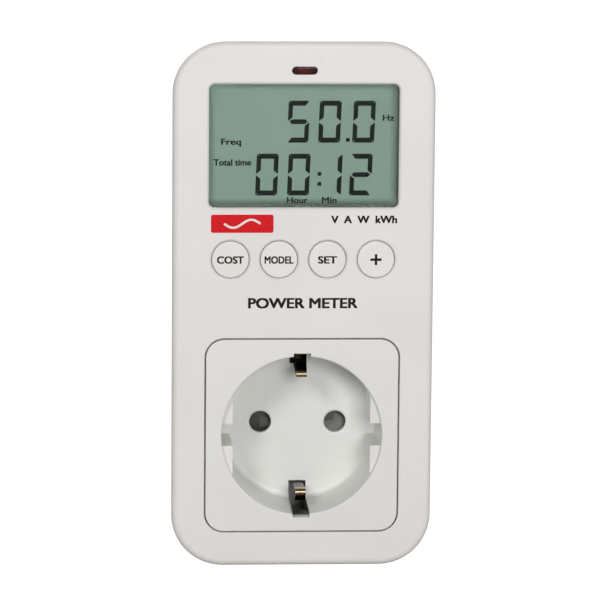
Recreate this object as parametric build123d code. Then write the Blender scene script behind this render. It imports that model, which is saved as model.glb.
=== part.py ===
from build123d import *
from math import cos, radians, tan
import os

# Plug-in power meter: an upright case with a display, four keys and an earthed two-pin socket in
# front, and the matching plug behind. Millimetres. x runs across the front, z up, y from the front
# to the wall. The origin is the middle of the plug's end face, halfway between its two pins.
# Inside the functions, a depth is the distance behind the case's front face.

# Clearances
FIT = 0.1
TOUCH = 0.05
RUNNING = 0.08

# Case
CASE_WIDTH = 65.0
CASE_HEIGHT = 132.0
CASE_DEPTH = 38.0
SOCKET_ABOVE_BOTTOM = 33.3
CASE_CORNER = 13.0
DRAFT = 9.0
WALL = 2.2
FRONT_WALL = 2.2
REAR_WALL = 2.2
FRONT_EDGE = 1.7
REAR_EDGE = 1.5
FRONT_DEPTH = 16.0
PARTING_GAP = 0.3
TONGUE = WALL / 2.2
TONGUE_LENGTH = 1.5
OPENING_EDGE = 0.4
SOFT_EDGE = 0.25
HOOK_X = 14.0
HOOK_WIDTH = 6.0
HOOK_TIP = 9.5
HOOK_TIP_LENGTH = 1.6
HOOK_BARB = 0.8
HOOK_ARM = 1.5
HOOK_ROOT = 5.0
SCREW_X = 20.5
SCREW_Z = 21.0
SCREW_SEAT = 24.0
SCREW_SHANK = 1.5
SCREW_HEAD = 2.8
CASE_POST = 4.2
POST_RADIUS = 2.7
LABEL_POCKET = 0.35
LABEL_THICKNESS = 0.2
LABEL_WIDTH = 34.0
LABEL_HEIGHT = 44.0
LABEL_CORNER = 2.0
LABEL_Z = 55.0

# Plug, to the European two-pin earthed pattern
BOSS_LENGTH = 17.0
BOSS_RADIUS = 19.0
BOSS_DRAFT = 1.0
BOSS_BORE = 15.2
BOSS_END_WALL = 2.2
BOSS_EDGE = 0.8
BOSS_FLAT = 16.8
BOSS_RIB_WIDTH = 5.2
BOSS_RIB_REACH = 18.6
BOSS_FLANGE = BOSS_RADIUS + 1.6
BOSS_FLANGE_THICKNESS = 0.8
PIN_SPACING = 19.0
PIN_RADIUS = 2.4
PIN_LENGTH = 19.0
PIN_TIP_ROUND = 1.7
PIN_SHANK = PIN_RADIUS + 0.6
PIN_COLLAR = PIN_RADIUS + 0.3
PIN_COLLAR_PROUD = 0.3
PIN_INNER_END = CASE_DEPTH + 3.0
PIN_SHANK_END = PIN_INNER_END + 9.0
EARTH_STRIP_WIDTH = 4.6
EARTH_STRIP_THICKNESS = 0.8
EARTH_STRIP_PLACE = 17.2
EARTH_CHANNEL_DEPTH = 1.3

# Socket, a fit for the same plug
INSERT_WIDTH = 48.0
INSERT_HEIGHT = 48.7
INSERT_CORNER = 4.6
INSERT_PLATE = 2.5
INSERT_GAP = 0.35
RECESS_RADIUS = 20.07
RECESS_FLOOR_RADIUS = 19.6
RECESS_DEPTH = 17.5
RECESS_FLOOR_ROUND = 1.2
RECESS_RIM_ROUND = 0.4
CUP_WALL = 1.9
FLOOR = 2.0
LEDGE = 2.0
GUIDE_FLAT = BOSS_FLAT + 0.4
GUIDE_DEPTH = 1.5
GUIDE_NOTCH = BOSS_RIB_WIDTH + 0.5
PIN_HOLE = PIN_RADIUS + 0.4
PIN_HOLE_EDGE = 0.45
CLIP_WIDTH = 2.65
CLIP_THICKNESS = 0.6
CLIP_BEND = 0.45
CLIP_PLACE = 15.7
CLIP_BULGE = 14.5
CLIP_TIP = 2.6
LEAD_IN_DEPTH = 5.6
LEAD_IN_PLACE = 17.4
CLIP_SLOT_WIDTH = 4.3
CLIP_SLOT_INNER = 15.2
CLIP_RIM_NOTCH = 0.8
CLIP_NOTCH_DEPTH = 8.0
RING_START = 31.0
RING_THICKNESS = 0.8
SHUTTER_START = 20.8
SHUTTER_END = 23.4
SHUTTER_PLATE = 1.8
SHUTTER_HUB = 5.2
SHUTTER_ARM = 4.0
PAD_WIDTH = 2 * PIN_HOLE + 1.6
PAD_THIN = 0.8
PIVOT_RADIUS = 2.0
SPRING_POCKET = 4.1
SPRING_END = 26.4
SPRING_RADIUS = 3.1
SPRING_WIRE = 0.22
SPRING_PITCH = 0.6
SPRING_HEIGHT = 1.8
CARRIER_RADIUS = 14.6
CARRIER_START = 23.8
CARRIER_END = 33.0
CARRIER_SCREW_Z = 10.7
CARRIER_SCREW_SEAT = 31.0
CARRIER_SCREW_HEAD = 2.1
CARRIER_POST = 2.2
SMALL_SCREW = 0.9
SMALL_SCREW_HOLE = 1.0
CONTACT_BORE = PIN_RADIUS + 0.05
CONTACT_RADIUS = CONTACT_BORE + 0.6
CONTACT_START = 25.4
CONTACT_END = 34.9
CONTACT_TAIL = 0.8
CONTACT_SLIT = 0.7
TAIL_WIDTH = 5.4
TAIL_BOTTOM = -3.2
TAIL_TOP = 8.0
LINK_INNER = 6.6
LINK_OUTER = 13.4
LINK_HEIGHT = 6.0
LINK_THICKNESS = 0.8
LEAD_RADIUS = 0.8
LEAD_BEND = 4.0
LEAD_BOTTOM = 4.6
LEAD_BOARD_Z = 38.0

# Display and keys: the display hangs from the top, the keys stand above the socket's centre
WINDOW_WIDTH = 46.9
WINDOW_HEIGHT = 30.6
WINDOW_CORNER = 1.4
WINDOW_BELOW_TOP = 25.85
WINDOW_RECESS = 0.3
WINDOW_LIP = 2.0
LCD_THICKNESS = 2.5
LCD_OVERLAP = 3.1
LCD_LEDGE = 1.0
ZEBRA_HEIGHT = 2.2
LED_WINDOW_WIDTH = 6.2
LED_WINDOW_HEIGHT = 1.85
LED_BELOW_TOP = 7.1
LED_LIP = 0.35
LED_RADIUS = 1.0
KEY_RADIUS = 4.6
KEY_GAP = 0.15
KEY_PITCH = 12.05
KEY_Z = 44.5
KEY_RECESS = 0.1
KEY_TRAVEL = 0.5
KEY_EDGE = 0.35
KEY_FLANGE = KEY_RADIUS + 1.1
KEY_STEM = 2.5
SWITCH_SIDE = 6.0
SWITCH_HEIGHT = 3.4
SWITCH_FLOOR = 0.4
PLUNGER_RADIUS = 1.65
PLUNGER_REACH = 0.75

# Boards
BOARD = 1.6
BOARD_SCREW_HOLE = 1.2
DISPLAY_BOARD_DEPTH = 9.0
DISPLAY_BOARD_WIDTH = CASE_WIDTH - 2 * WALL - 7.6
DISPLAY_BOARD_BOTTOM = 33.5
DISPLAY_BOARD_BELOW_TOP = WALL + 4.5
DISPLAY_BOARD_TOP_CORNER = 7.0
DISPLAY_SCREW_X = 25.0
DISPLAY_SCREW_ZS = (36.0, 50.4)
DISPLAY_POST = 1.9
POWER_BOARD_DEPTH = 22.0
POWER_BOARD_WIDTH = 40.0
POWER_BOARD_BOTTOM = 29.0
POWER_BOARD_TOP = 85.0
POWER_SCREW_X = 16.0
POWER_SCREW_ZS = (33.0, 81.0)
POWER_POST = 2.3
HEADER_Z = 74.0
HEADER_PITCH = 2.54
HEADER_PINS = 8
HEADER_PIN = 0.64
CHIP_LEGS = 8

# Sizes that follow from the ones above
CASE_TOP = CASE_HEIGHT - SOCKET_ABOVE_BOTTOM
CASE_MIDDLE = CASE_TOP - CASE_HEIGHT / 2
FRONT_Y = -(CASE_DEPTH + BOSS_LENGTH)
SLOPE = tan(radians(DRAFT))
# The sloping sides meet the front plane this far outside the widest point of the rounded edge.
EDGE_OVERSHOOT = FRONT_EDGE * (SLOPE + 1 / cos(radians(DRAFT)) - 1)
PLUG_END = CASE_DEPTH + BOSS_LENGTH
LEDGE_START = INSERT_PLATE + FIT
LEDGE_END = LEDGE_START + LEDGE
CUP_RADIUS = RECESS_RADIUS + CUP_WALL
CUP_END = RECESS_DEPTH + FLOOR
OPENING_WIDTH = INSERT_WIDTH + 2 * INSERT_GAP
OPENING_HEIGHT = INSERT_HEIGHT + 2 * INSERT_GAP
OPENING_CORNER = INSERT_CORNER + INSERT_GAP
PIN_X = PIN_SPACING / 2
WINDOW_Z = CASE_TOP - WINDOW_BELOW_TOP
WINDOW_BACK = FRONT_WALL + TOUCH
WINDOW_FLANGE_END = WINDOW_BACK + 1.0
LCD_START = WINDOW_FLANGE_END + FIT
LCD_END = LCD_START + LCD_THICKNESS
LCD_WIDTH = WINDOW_WIDTH + LCD_OVERLAP
LCD_HEIGHT = WINDOW_HEIGHT + LCD_OVERLAP
LED_Z = CASE_TOP - LED_BELOW_TOP
DISPLAY_BOARD_TOP = CASE_TOP - DISPLAY_BOARD_BELOW_TOP
BOARD_BACK = DISPLAY_BOARD_DEPTH + BOARD + TOUCH
POWER_FRONT = POWER_BOARD_DEPTH - TOUCH
POWER_BACK = POWER_BOARD_DEPTH + BOARD + TOUCH
KEYS = ("cost", "model", "set", "plus")
KEY_XS = [(i - (len(KEYS) - 1) / 2) * KEY_PITCH for i in range(len(KEYS))]
SIDES = (-1, 1)
CORNERS = [(sx, sz) for sx in SIDES for sz in SIDES]


# Helpers: sketches are drawn in x and z and carried back through the case.

def at_depth(depth, sketch):
    plane = Plane(origin=(0, FRONT_Y + depth, 0), x_dir=(1, 0, 0), z_dir=(0, -1, 0))
    return plane * sketch


def slab(sketch, start, end, taper=0):
    return extrude(at_depth(start, sketch), amount=end - start, dir=(0, 1, 0), taper=taper)


def rectangle(width, height, x=0, z=0, corner=0):
    shape = RectangleRounded(width, height, corner) if corner else Rectangle(width, height)
    return Pos(x, z) * shape


def rod(radius, start, end, x=0, z=0):
    return slab(Pos(x, z) * Circle(radius), start, end)


def box(width, height, start, end, x=0, z=0):
    return slab(rectangle(width, height, x, z), start, end)


def tube(outer, inner, start, end, x=0, z=0):
    return rod(outer, start, end, x, z) - rod(inner, start - 1, end + 1, x, z)


def edges_at(shape, depth):
    """The edges that lie wholly in the plane at one depth."""
    plane_y = FRONT_Y + depth
    return shape.edges().filter_by_position(Axis.Y, plane_y - 0.001, plane_y + 0.001)


def round_edges_at(shape, depth, radius):
    return fillet(edges_at(shape, depth), radius)


def wall_inset(depth, inset):
    """How far a case surface has drawn in from the front outline, at a depth."""
    return inset + depth * SLOPE - EDGE_OVERSHOOT


def case_outline(depth, inset):
    lost = wall_inset(depth, inset)
    return rectangle(
        CASE_WIDTH - 2 * lost,
        CASE_HEIGHT - 2 * lost,
        0,
        CASE_MIDDLE,
        CASE_CORNER - lost,
    )


def case_block(start, end, inset):
    return slab(case_outline(start, inset), start, end, DRAFT)


def strip(points, radius, thickness, low_x, high_x):
    """A bent strip: its centre line, given as depth and z, is thickened and carried along x."""
    line = FilletPolyline(*[(depth, z) for depth, z in points], radius=radius)
    outline = make_face(offset(line, thickness / 2, side=Side.BOTH))
    plane = Plane(origin=(low_x, FRONT_Y, 0), x_dir=(0, 1, 0), z_dir=(1, 0, 0))
    return extrude(plane * outline, amount=high_x - low_x)


def screw(x, z, head_depth, head_radius, head_height, shank_radius, length):
    """A cross-head screw put in from behind, its head's seat at head_depth."""
    tip = head_depth - length
    body = rod(head_radius, head_depth, head_depth + head_height, x, z)
    body += rod(shank_radius, tip, head_depth, x, z)
    arm = head_radius * 1.1
    slot = rectangle(arm, arm / 4, x, z) + rectangle(arm / 4, arm, x, z)
    return body - slab(slot, head_depth + head_height / 2, head_depth + head_height + 1)


def group(parts):
    return Compound(children=[part.solid() for part in parts])


# Case

def top_inside(depth):
    return CASE_TOP - wall_inset(depth, WALL)


def front_cover():
    cover = round_edges_at(case_block(0, FRONT_DEPTH, 0), 0, FRONT_EDGE)
    cover -= case_block(FRONT_WALL, FRONT_DEPTH + 1, WALL)
    rim = 2 * WALL
    frame = rectangle(OPENING_WIDTH + rim, OPENING_HEIGHT + rim, 0, 0, OPENING_CORNER + WALL)
    cover += slab(frame, FRONT_WALL - FIT, LEDGE_END)
    opening = rectangle(OPENING_WIDTH, OPENING_HEIGHT, 0, 0, OPENING_CORNER)
    cover -= slab(opening, -1, LEDGE_START)
    cover -= rod(CUP_RADIUS + INSERT_GAP, 0, LEDGE_END + 1)
    for side_x, side_z in CORNERS:
        cover -= rod(POST_RADIUS + FIT, 0, LEDGE_END + 1, side_x * SCREW_X, side_z * SCREW_Z)
    window = rectangle(
        WINDOW_WIDTH + 2 * FIT, WINDOW_HEIGHT + 2 * FIT, 0, WINDOW_Z, WINDOW_CORNER + FIT
    )
    cover -= slab(window, -1, FRONT_WALL + 1)
    cover -= slab(led_slot(FIT), -1, FRONT_WALL + 1)
    for x in KEY_XS:
        cover -= rod(KEY_RADIUS + KEY_GAP, -1, FRONT_WALL + 1, x, KEY_Z)
    cover = soften_front_openings(cover)
    for side in SIDES:
        for z in DISPLAY_SCREW_ZS:
            x = side * DISPLAY_SCREW_X
            cover += rod(DISPLAY_POST, FRONT_WALL - FIT, DISPLAY_BOARD_DEPTH - TOUCH, x, z)
            cover -= rod(SMALL_SCREW_HOLE, FRONT_WALL + 1, DISPLAY_BOARD_DEPTH + 1, x, z)
        cover -= hook_pocket(side * HOOK_X)
    cover -= case_block(FRONT_DEPTH - TONGUE_LENGTH - FIT, FRONT_DEPTH + 1, WALL - TONGUE - FIT)
    return cover


def soften_front_openings(cover):
    """Chamfers round the window, the keys and the insert, where they break the front face."""
    front = edges_at(cover, 0)
    keys = front.filter_by(lambda edge: abs(edge.center().Z - KEY_Z) < KEY_RADIUS + 1)
    cover = chamfer(keys, OPENING_EDGE)
    front = edges_at(cover, 0)
    window_reach = WINDOW_HEIGHT / 2 + 1
    window = front.filter_by(lambda edge: abs(edge.center().Z - WINDOW_Z) < window_reach)
    window = window.filter_by(lambda edge: abs(edge.center().X) < WINDOW_WIDTH / 2 + 1)
    cover = chamfer(window, OPENING_EDGE)
    front = edges_at(cover, 0)
    insert = front.filter_by(lambda edge: abs(edge.center().Z) < OPENING_HEIGHT / 2 + 0.5)
    insert = insert.filter_by(lambda edge: abs(edge.center().X) < OPENING_WIDTH / 2 + 0.5)
    return fillet(insert, SOFT_EDGE)


def hook_pocket(x):
    top = top_inside(HOOK_TIP) + HOOK_BARB + FIT
    height = HOOK_BARB + HOOK_ARM
    end = HOOK_TIP + HOOK_TIP_LENGTH + 6 * FIT
    return box(HOOK_WIDTH + 1, height, HOOK_TIP - 3 * FIT, end, x, top - height / 2)


def boss_outline(grow=0):
    """The plug's outline: round, with flat sides that each carry a guide rib."""
    flats = rectangle(2 * (BOSS_FLAT + grow), 3 * BOSS_RADIUS)
    ribs = rectangle(2 * (BOSS_RIB_REACH + grow), BOSS_RIB_WIDTH + 2 * grow)
    return Circle(BOSS_RADIUS + grow) & (flats + ribs)


def rear_cover():
    start = FRONT_DEPTH + PARTING_GAP
    cover = round_edges_at(case_block(start, CASE_DEPTH, 0), CASE_DEPTH, REAR_EDGE)
    cover += case_block(FRONT_DEPTH - TONGUE_LENGTH, start + 1, WALL - TONGUE)
    cover -= case_block(FRONT_DEPTH - TONGUE_LENGTH - 1, CASE_DEPTH - REAR_WALL, WALL)
    cover -= slab(boss_outline(FIT), CASE_DEPTH - REAR_WALL - 1, CASE_DEPTH + 1)
    for side_x, side_z in CORNERS:
        x, z = side_x * SCREW_X, side_z * SCREW_Z
        cover += rod(CASE_POST, start, CASE_DEPTH - 1, x, z)
        cover -= rod(SCREW_SHANK + FIT + TOUCH, 0, CASE_DEPTH, x, z)
        cover -= rod(SCREW_HEAD + 4 * FIT, SCREW_SEAT, CASE_DEPTH + 1, x, z)
    for side in SIDES:
        for z in POWER_SCREW_ZS:
            x = side * POWER_SCREW_X
            cover += rod(POWER_POST, POWER_BACK, CASE_DEPTH - 1, x, z)
            cover -= rod(SMALL_SCREW_HOLE, POWER_BOARD_DEPTH, CASE_DEPTH - REAR_WALL - 3, x, z)
        cover += hook(side * HOOK_X)
    cover -= slab(label_outline(FIT), CASE_DEPTH - LABEL_POCKET, CASE_DEPTH + 1)
    return cover


def plug_body():
    """The plug's round body, held in the rear cover's hole by a flange inside the case."""
    flange_end = CASE_DEPTH - REAR_WALL - TOUCH
    neck = slab(boss_outline(), flange_end - BOSS_FLANGE_THICKNESS, CASE_DEPTH)
    neck += rod(BOSS_FLANGE, flange_end - BOSS_FLANGE_THICKNESS, flange_end)
    plug = slab(boss_outline(), CASE_DEPTH, PLUG_END, BOSS_DRAFT)
    body = round_edges_at(plug, PLUG_END, BOSS_EDGE) + neck
    body -= rod(BOSS_BORE, CASE_DEPTH - REAR_WALL - 2, PLUG_END - BOSS_END_WALL)
    for side in SIDES:
        body -= rod(PIN_COLLAR + FIT, CASE_DEPTH, PLUG_END + 1, side * PIN_X)
        body -= earth_channel(side)
    return body


def label_outline(grow=0):
    return rectangle(LABEL_WIDTH + 2 * grow, LABEL_HEIGHT + 2 * grow, 0, LABEL_Z, LABEL_CORNER + grow)


def earth_channel(side):
    """The slot through the plug's flange and neck and the open channel along it for an earth strip."""
    width = EARTH_STRIP_WIDTH + 0.6
    low = EARTH_STRIP_PLACE - FIT
    middle = side * (low + EARTH_CHANNEL_DEPTH / 2)
    inner = box(width, EARTH_CHANNEL_DEPTH, CASE_DEPTH - REAR_WALL - 2, CASE_DEPTH + 2, 0, middle)
    reach = BOSS_RADIUS - low + 1
    return inner + box(width, reach, CASE_DEPTH, PLUG_END + 1, 0, side * (low + reach / 2))


def hook(x):
    """A snap hook on the rear cover's top wall, caught in a pocket of the front cover."""
    tip_top = top_inside(HOOK_TIP) + HOOK_BARB - FIT
    arm_top = top_inside(FRONT_DEPTH) - 0.5
    root = FRONT_DEPTH + HOOK_ROOT
    arm = box(HOOK_WIDTH, HOOK_ARM, HOOK_TIP, root, x, arm_top - HOOK_ARM / 2)
    tip_height = tip_top - arm_top + HOOK_ARM
    arm += box(HOOK_WIDTH, tip_height, HOOK_TIP, HOOK_TIP + HOOK_TIP_LENGTH, x, tip_top - tip_height / 2)
    base_top = CASE_TOP - wall_inset(root, WALL / 2)
    base_height = base_top - arm_top + HOOK_ARM
    return arm + box(
        HOOK_WIDTH, base_height, FRONT_DEPTH + PARTING_GAP + 1, root, x, base_top - base_height / 2
    )


def rating_label():
    start = CASE_DEPTH - LABEL_POCKET
    return slab(label_outline(), start, start + LABEL_THICKNESS)


# Socket

def guide_blocks():
    """The two flat-sided guides left and right in the recess, each split by a notch."""
    ring = Circle(RECESS_RADIUS + 1) - rectangle(2 * GUIDE_FLAT, 3 * RECESS_RADIUS)
    ring -= rectangle(3 * RECESS_RADIUS, GUIDE_NOTCH)
    return slab(ring, GUIDE_DEPTH, CUP_END)


def socket_recess():
    """The space that the plug goes into: a tapered round well with a rounded floor edge."""
    plane = Plane(origin=(0, FRONT_Y, 0), x_dir=(1, 0, 0), z_dir=(0, 1, 0))
    taper = (RECESS_RADIUS - RECESS_FLOOR_RADIUS) / RECESS_DEPTH
    start = -1.0
    well = plane * Pos(0, 0, (RECESS_DEPTH + start) / 2) * Cone(
        RECESS_RADIUS - start * taper, RECESS_FLOOR_RADIUS, RECESS_DEPTH - start
    )
    return round_edges_at(well, RECESS_DEPTH, RECESS_FLOOR_ROUND) - guide_blocks()


def clip_slot(side):
    """One earth clip's slot: a shallow notch at the rim, open to the inside further back."""
    rim = RECESS_RADIUS + CLIP_RIM_NOTCH
    reach = CUP_RADIUS + 1
    front = box(
        CLIP_SLOT_WIDTH, rim - CLIP_SLOT_INNER, -1, CUP_END + 1, 0, side * (rim + CLIP_SLOT_INNER) / 2
    )
    back = box(
        CLIP_SLOT_WIDTH,
        reach - CLIP_SLOT_INNER,
        CLIP_NOTCH_DEPTH,
        CUP_END + 1,
        0,
        side * (reach + CLIP_SLOT_INNER) / 2,
    )
    return front + back


def socket_insert():
    outline = rectangle(INSERT_WIDTH, INSERT_HEIGHT, 0, 0, INSERT_CORNER)
    insert = round_edges_at(slab(outline, 0, INSERT_PLATE), 0, SOFT_EDGE)
    insert += rod(CUP_RADIUS, INSERT_PLATE - 1, CUP_END)
    insert -= socket_recess()
    rim = edges_at(insert, 0).filter_by(GeomType.CIRCLE)
    rim = rim.filter_by(lambda edge: edge.radius > INSERT_CORNER + 1)
    insert = fillet(rim, RECESS_RIM_ROUND)
    for side_x, side_z in CORNERS:
        x, z = side_x * SCREW_X, side_z * SCREW_Z
        insert += rod(POST_RADIUS, INSERT_PLATE - 1, FRONT_DEPTH, x, z)
        insert -= rod(SCREW_SHANK + FIT, INSERT_PLATE + 1, FRONT_DEPTH + 1, x, z)
    for side in SIDES:
        insert -= rod(PIN_HOLE, RECESS_DEPTH - 1, CUP_END + 1, side * PIN_X)
        insert -= clip_slot(side)
        insert += rod(CARRIER_POST, CUP_END - 0.5, CARRIER_START - FIT, 0, side * CARRIER_SCREW_Z)
        insert -= rod(SMALL_SCREW_HOLE, CUP_END, CARRIER_START + 1, 0, side * CARRIER_SCREW_Z)
    floor_edges = edges_at(insert, RECESS_DEPTH).filter_by(GeomType.CIRCLE)
    holes = floor_edges.filter_by(lambda edge: edge.radius < PIN_HOLE + FIT)
    return chamfer(holes, PIN_HOLE_EDGE)


def earth_clip(side):
    """A spring strip: a short lead-in leg, a bend that touches the plug, a long leg to the ring."""
    path = [
        (LEAD_IN_DEPTH, side * LEAD_IN_PLACE),
        (CLIP_TIP, side * (CLIP_BULGE + 0.5)),
        (CLIP_TIP + 0.9, side * CLIP_BULGE),
        (16.0, side * CLIP_PLACE),
        (RING_START - TOUCH - CLIP_THICKNESS / 2, side * CLIP_PLACE),
    ]
    return strip(path, CLIP_BEND, CLIP_THICKNESS, -CLIP_WIDTH / 2, CLIP_WIDTH / 2)


def earth_ring():
    outer = EARTH_STRIP_PLACE + EARTH_STRIP_THICKNESS + 0.4
    return tube(outer, CLIP_SLOT_INNER - 0.2, RING_START, RING_START + RING_THICKNESS)


def plug_earth_strip(side):
    start = RING_START + RING_THICKNESS + TOUCH
    middle = side * (EARTH_STRIP_PLACE + EARTH_STRIP_THICKNESS / 2)
    end = PLUG_END - BOSS_EDGE
    return box(EARTH_STRIP_WIDTH, EARTH_STRIP_THICKNESS, start, end, 0, middle)


def shutter():
    """A turning shutter: a hub with a sloped pad over each pin hole."""
    start = SHUTTER_END - SHUTTER_PLATE
    body = rod(SHUTTER_HUB, start, SHUTTER_END) + box(2 * PIN_X, SHUTTER_ARM, start, SHUTTER_END)
    half = PAD_WIDTH / 2
    for side in SIDES:
        ramp = Polyline(
            (SHUTTER_START, -side * half),
            (SHUTTER_END - PAD_THIN, side * half),
            (SHUTTER_END, side * half),
            (SHUTTER_END, -side * half),
            close=True,
        )
        low_x = side * PIN_X - half
        plane = Plane(origin=(low_x, FRONT_Y, 0), x_dir=(0, 1, 0), z_dir=(1, 0, 0))
        body += extrude(plane * make_face(ramp), amount=PAD_WIDTH)
    return body - rod(PIVOT_RADIUS + RUNNING, SHUTTER_START - 1, SHUTTER_END + 1)


def contact_carrier():
    """Holds the two contacts behind the insert, with the shutter's pivot in front."""
    carrier = rod(CARRIER_RADIUS, CARRIER_START, CARRIER_END)
    carrier -= rod(SPRING_POCKET, CARRIER_START - 1, SPRING_END)
    carrier += rod(PIVOT_RADIUS, CUP_END + 0.6, SPRING_END + 0.5)
    for side in SIDES:
        carrier -= rod(PIN_HOLE, CARRIER_START - 1, CARRIER_END, side * PIN_X)
        carrier -= rod(CONTACT_RADIUS + FIT, CONTACT_START - FIT, CARRIER_END + 1, side * PIN_X)
        carrier -= rod(SMALL_SCREW + 4 * FIT, CARRIER_START - 1, CARRIER_END, 0, side * CARRIER_SCREW_Z)
        head_hole = CARRIER_SCREW_HEAD + 4 * FIT
        carrier -= rod(head_hole, CARRIER_SCREW_SEAT, CARRIER_END + 1, 0, side * CARRIER_SCREW_Z)
    return carrier


def shutter_spring():
    coil = Helix(pitch=SPRING_PITCH, height=SPRING_HEIGHT, radius=SPRING_RADIUS)
    section = Plane(origin=coil @ 0, z_dir=coil % 0) * Circle(SPRING_WIRE)
    start = FRONT_Y + CARRIER_START + 0.4
    plane = Plane(origin=(0, start, 0), x_dir=(1, 0, 0), z_dir=(0, 1, 0))
    return plane * sweep(section, path=coil, is_frenet=True)


def socket_contact(side):
    """A slit sleeve that grips one plug pin, with a solder tail behind it."""
    x = side * PIN_X
    sleeve = tube(CONTACT_RADIUS, CONTACT_BORE, CONTACT_START, CONTACT_END + 0.2, x)
    sleeve -= box(CONTACT_SLIT, 3 * CONTACT_RADIUS, CONTACT_START - 1, CONTACT_END - 3, x)
    tail_end = CONTACT_END + CONTACT_TAIL
    middle = (TAIL_BOTTOM + TAIL_TOP) / 2
    tail = box(TAIL_WIDTH, TAIL_TOP - TAIL_BOTTOM, CONTACT_END, tail_end, x, middle)
    return sleeve + tail - rod(CONTACT_BORE, CONTACT_START, CONTACT_END + 0.3, x)


def link_strip(side):
    """The bent strip from one contact's tail to the inner end of its plug pin."""
    front = CONTACT_END + CONTACT_TAIL + TOUCH
    back = PIN_INNER_END - TOUCH
    width = LINK_OUTER - LINK_INNER
    middle = side * (LINK_INNER + LINK_OUTER) / 2
    link = box(width, LINK_HEIGHT, front, back, middle)
    gap_middle = middle - side * LINK_THICKNESS
    gap_start, gap_end = front + LINK_THICKNESS, back - LINK_THICKNESS
    return link - box(width, LINK_HEIGHT + 1, gap_start, gap_end, gap_middle)


def plug_pin(side):
    """One plug pin: a wide shank in the carrier, a collar through the plug's end, then the pin."""
    x = side * PIN_X
    end = PLUG_END + PIN_LENGTH
    pin = round_edges_at(rod(PIN_RADIUS, PIN_SHANK_END, end, x), end, PIN_TIP_ROUND)
    pin += rod(PIN_COLLAR, PIN_SHANK_END - 1, PLUG_END + PIN_COLLAR_PROUD, x)
    return pin + rod(PIN_SHANK, PIN_INNER_END, PIN_SHANK_END, x)


def pin_carrier():
    end = PLUG_END - BOSS_END_WALL - FIT
    carrier = rod(BOSS_BORE - 2 * FIT, PIN_INNER_END + 0.4, end)
    for side in SIDES:
        carrier -= rod(PIN_COLLAR + TOUCH, PIN_INNER_END, end + 1, side * PIN_X)
        carrier -= rod(PIN_SHANK + TOUCH, PIN_INNER_END, PIN_SHANK_END + TOUCH, side * PIN_X)
    return carrier


def supply_lead(side):
    """A stiff lead from one contact's tail up to the power board."""
    x = side * PIN_X
    back = FRONT_Y + CONTACT_END - LEAD_RADIUS - TOUCH
    board = FRONT_Y + POWER_BOARD_DEPTH + BOARD + TOUCH
    corners = ((x, back, LEAD_BOTTOM), (x, back, LEAD_BOARD_Z), (x, board, LEAD_BOARD_Z))
    path = FilletPolyline(*corners, radius=LEAD_BEND)
    section = Plane(origin=path @ 0, z_dir=path % 0) * Circle(LEAD_RADIUS)
    return sweep(section, path=path)


# Display and keys

def lcd_window():
    face = rectangle(WINDOW_WIDTH, WINDOW_HEIGHT, 0, WINDOW_Z, WINDOW_CORNER)
    flange = rectangle(
        WINDOW_WIDTH + 2 * WINDOW_LIP, WINDOW_HEIGHT + 2 * WINDOW_LIP, 0, WINDOW_Z, WINDOW_CORNER
    )
    window = round_edges_at(slab(face, WINDOW_RECESS, WINDOW_BACK + 0.5), WINDOW_RECESS, 0.2)
    return window + slab(flange, WINDOW_BACK, WINDOW_FLANGE_END)


def lcd_glass():
    """The liquid crystal cell: two glass plates, the rear one reaching past the front one."""
    middle = (LCD_START + LCD_END) / 2
    front = box(LCD_WIDTH, LCD_HEIGHT, LCD_START, middle, 0, WINDOW_Z)
    return front + box(LCD_WIDTH, LCD_HEIGHT - LCD_LEDGE, middle, LCD_END, 0, WINDOW_Z)


def lcd_holder():
    frame = rectangle(LCD_WIDTH + 3.2, LCD_HEIGHT + 1.6, 0, WINDOW_Z, 1.5)
    holder = slab(frame, LCD_START, DISPLAY_BOARD_DEPTH - TOUCH)
    pocket = rectangle(LCD_WIDTH + 2 * FIT, LCD_HEIGHT + 2 * FIT, 0, WINDOW_Z)
    holder -= slab(pocket, LCD_START - 1, LCD_END + FIT)
    rear = rectangle(LCD_WIDTH - 4, LCD_HEIGHT - 2, 0, WINDOW_Z)
    return holder - slab(rear, LCD_START, DISPLAY_BOARD_DEPTH + 1)


def zebra_strips():
    """The two rubber strips that join the cell's edges to the display board."""
    offset_z = (LCD_HEIGHT - LCD_LEDGE - ZEBRA_HEIGHT) / 2 - 0.7
    parts = []
    for side in SIDES:
        z = WINDOW_Z + side * offset_z
        end = DISPLAY_BOARD_DEPTH - TOUCH
        parts.append(box(LCD_WIDTH - 6, ZEBRA_HEIGHT, LCD_END + TOUCH, end, 0, z))
    return group(parts)


def led_slot(grow=0):
    return Pos(0, LED_Z) * SlotOverall(LED_WINDOW_WIDTH + 2 * grow, LED_WINDOW_HEIGHT + 2 * grow)


def led_window():
    lens = round_edges_at(slab(led_slot(), 0.1, WINDOW_BACK + 0.4), 0.1, 0.3)
    return lens + slab(led_slot(LED_LIP), WINDOW_BACK, WINDOW_BACK + 0.8)


def status_led():
    dome_start = WINDOW_BACK + 0.8 + FIT
    led = rod(LED_RADIUS, dome_start, DISPLAY_BOARD_DEPTH - TOUCH, 0, LED_Z)
    return round_edges_at(led, dome_start, LED_RADIUS - 0.1)


def key_button(x):
    stem_end = DISPLAY_BOARD_DEPTH - SWITCH_HEIGHT - PLUNGER_REACH - TOUCH
    cap = rod(KEY_RADIUS, KEY_RECESS, FRONT_WALL + 0.5, x, KEY_Z)
    cap = round_edges_at(cap, KEY_RECESS, KEY_EDGE)
    cap += rod(KEY_FLANGE, FRONT_WALL + 0.2, FRONT_WALL + 1.1, x, KEY_Z)
    return cap + rod(KEY_STEM, FRONT_WALL + 1, stem_end, x, KEY_Z)


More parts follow.
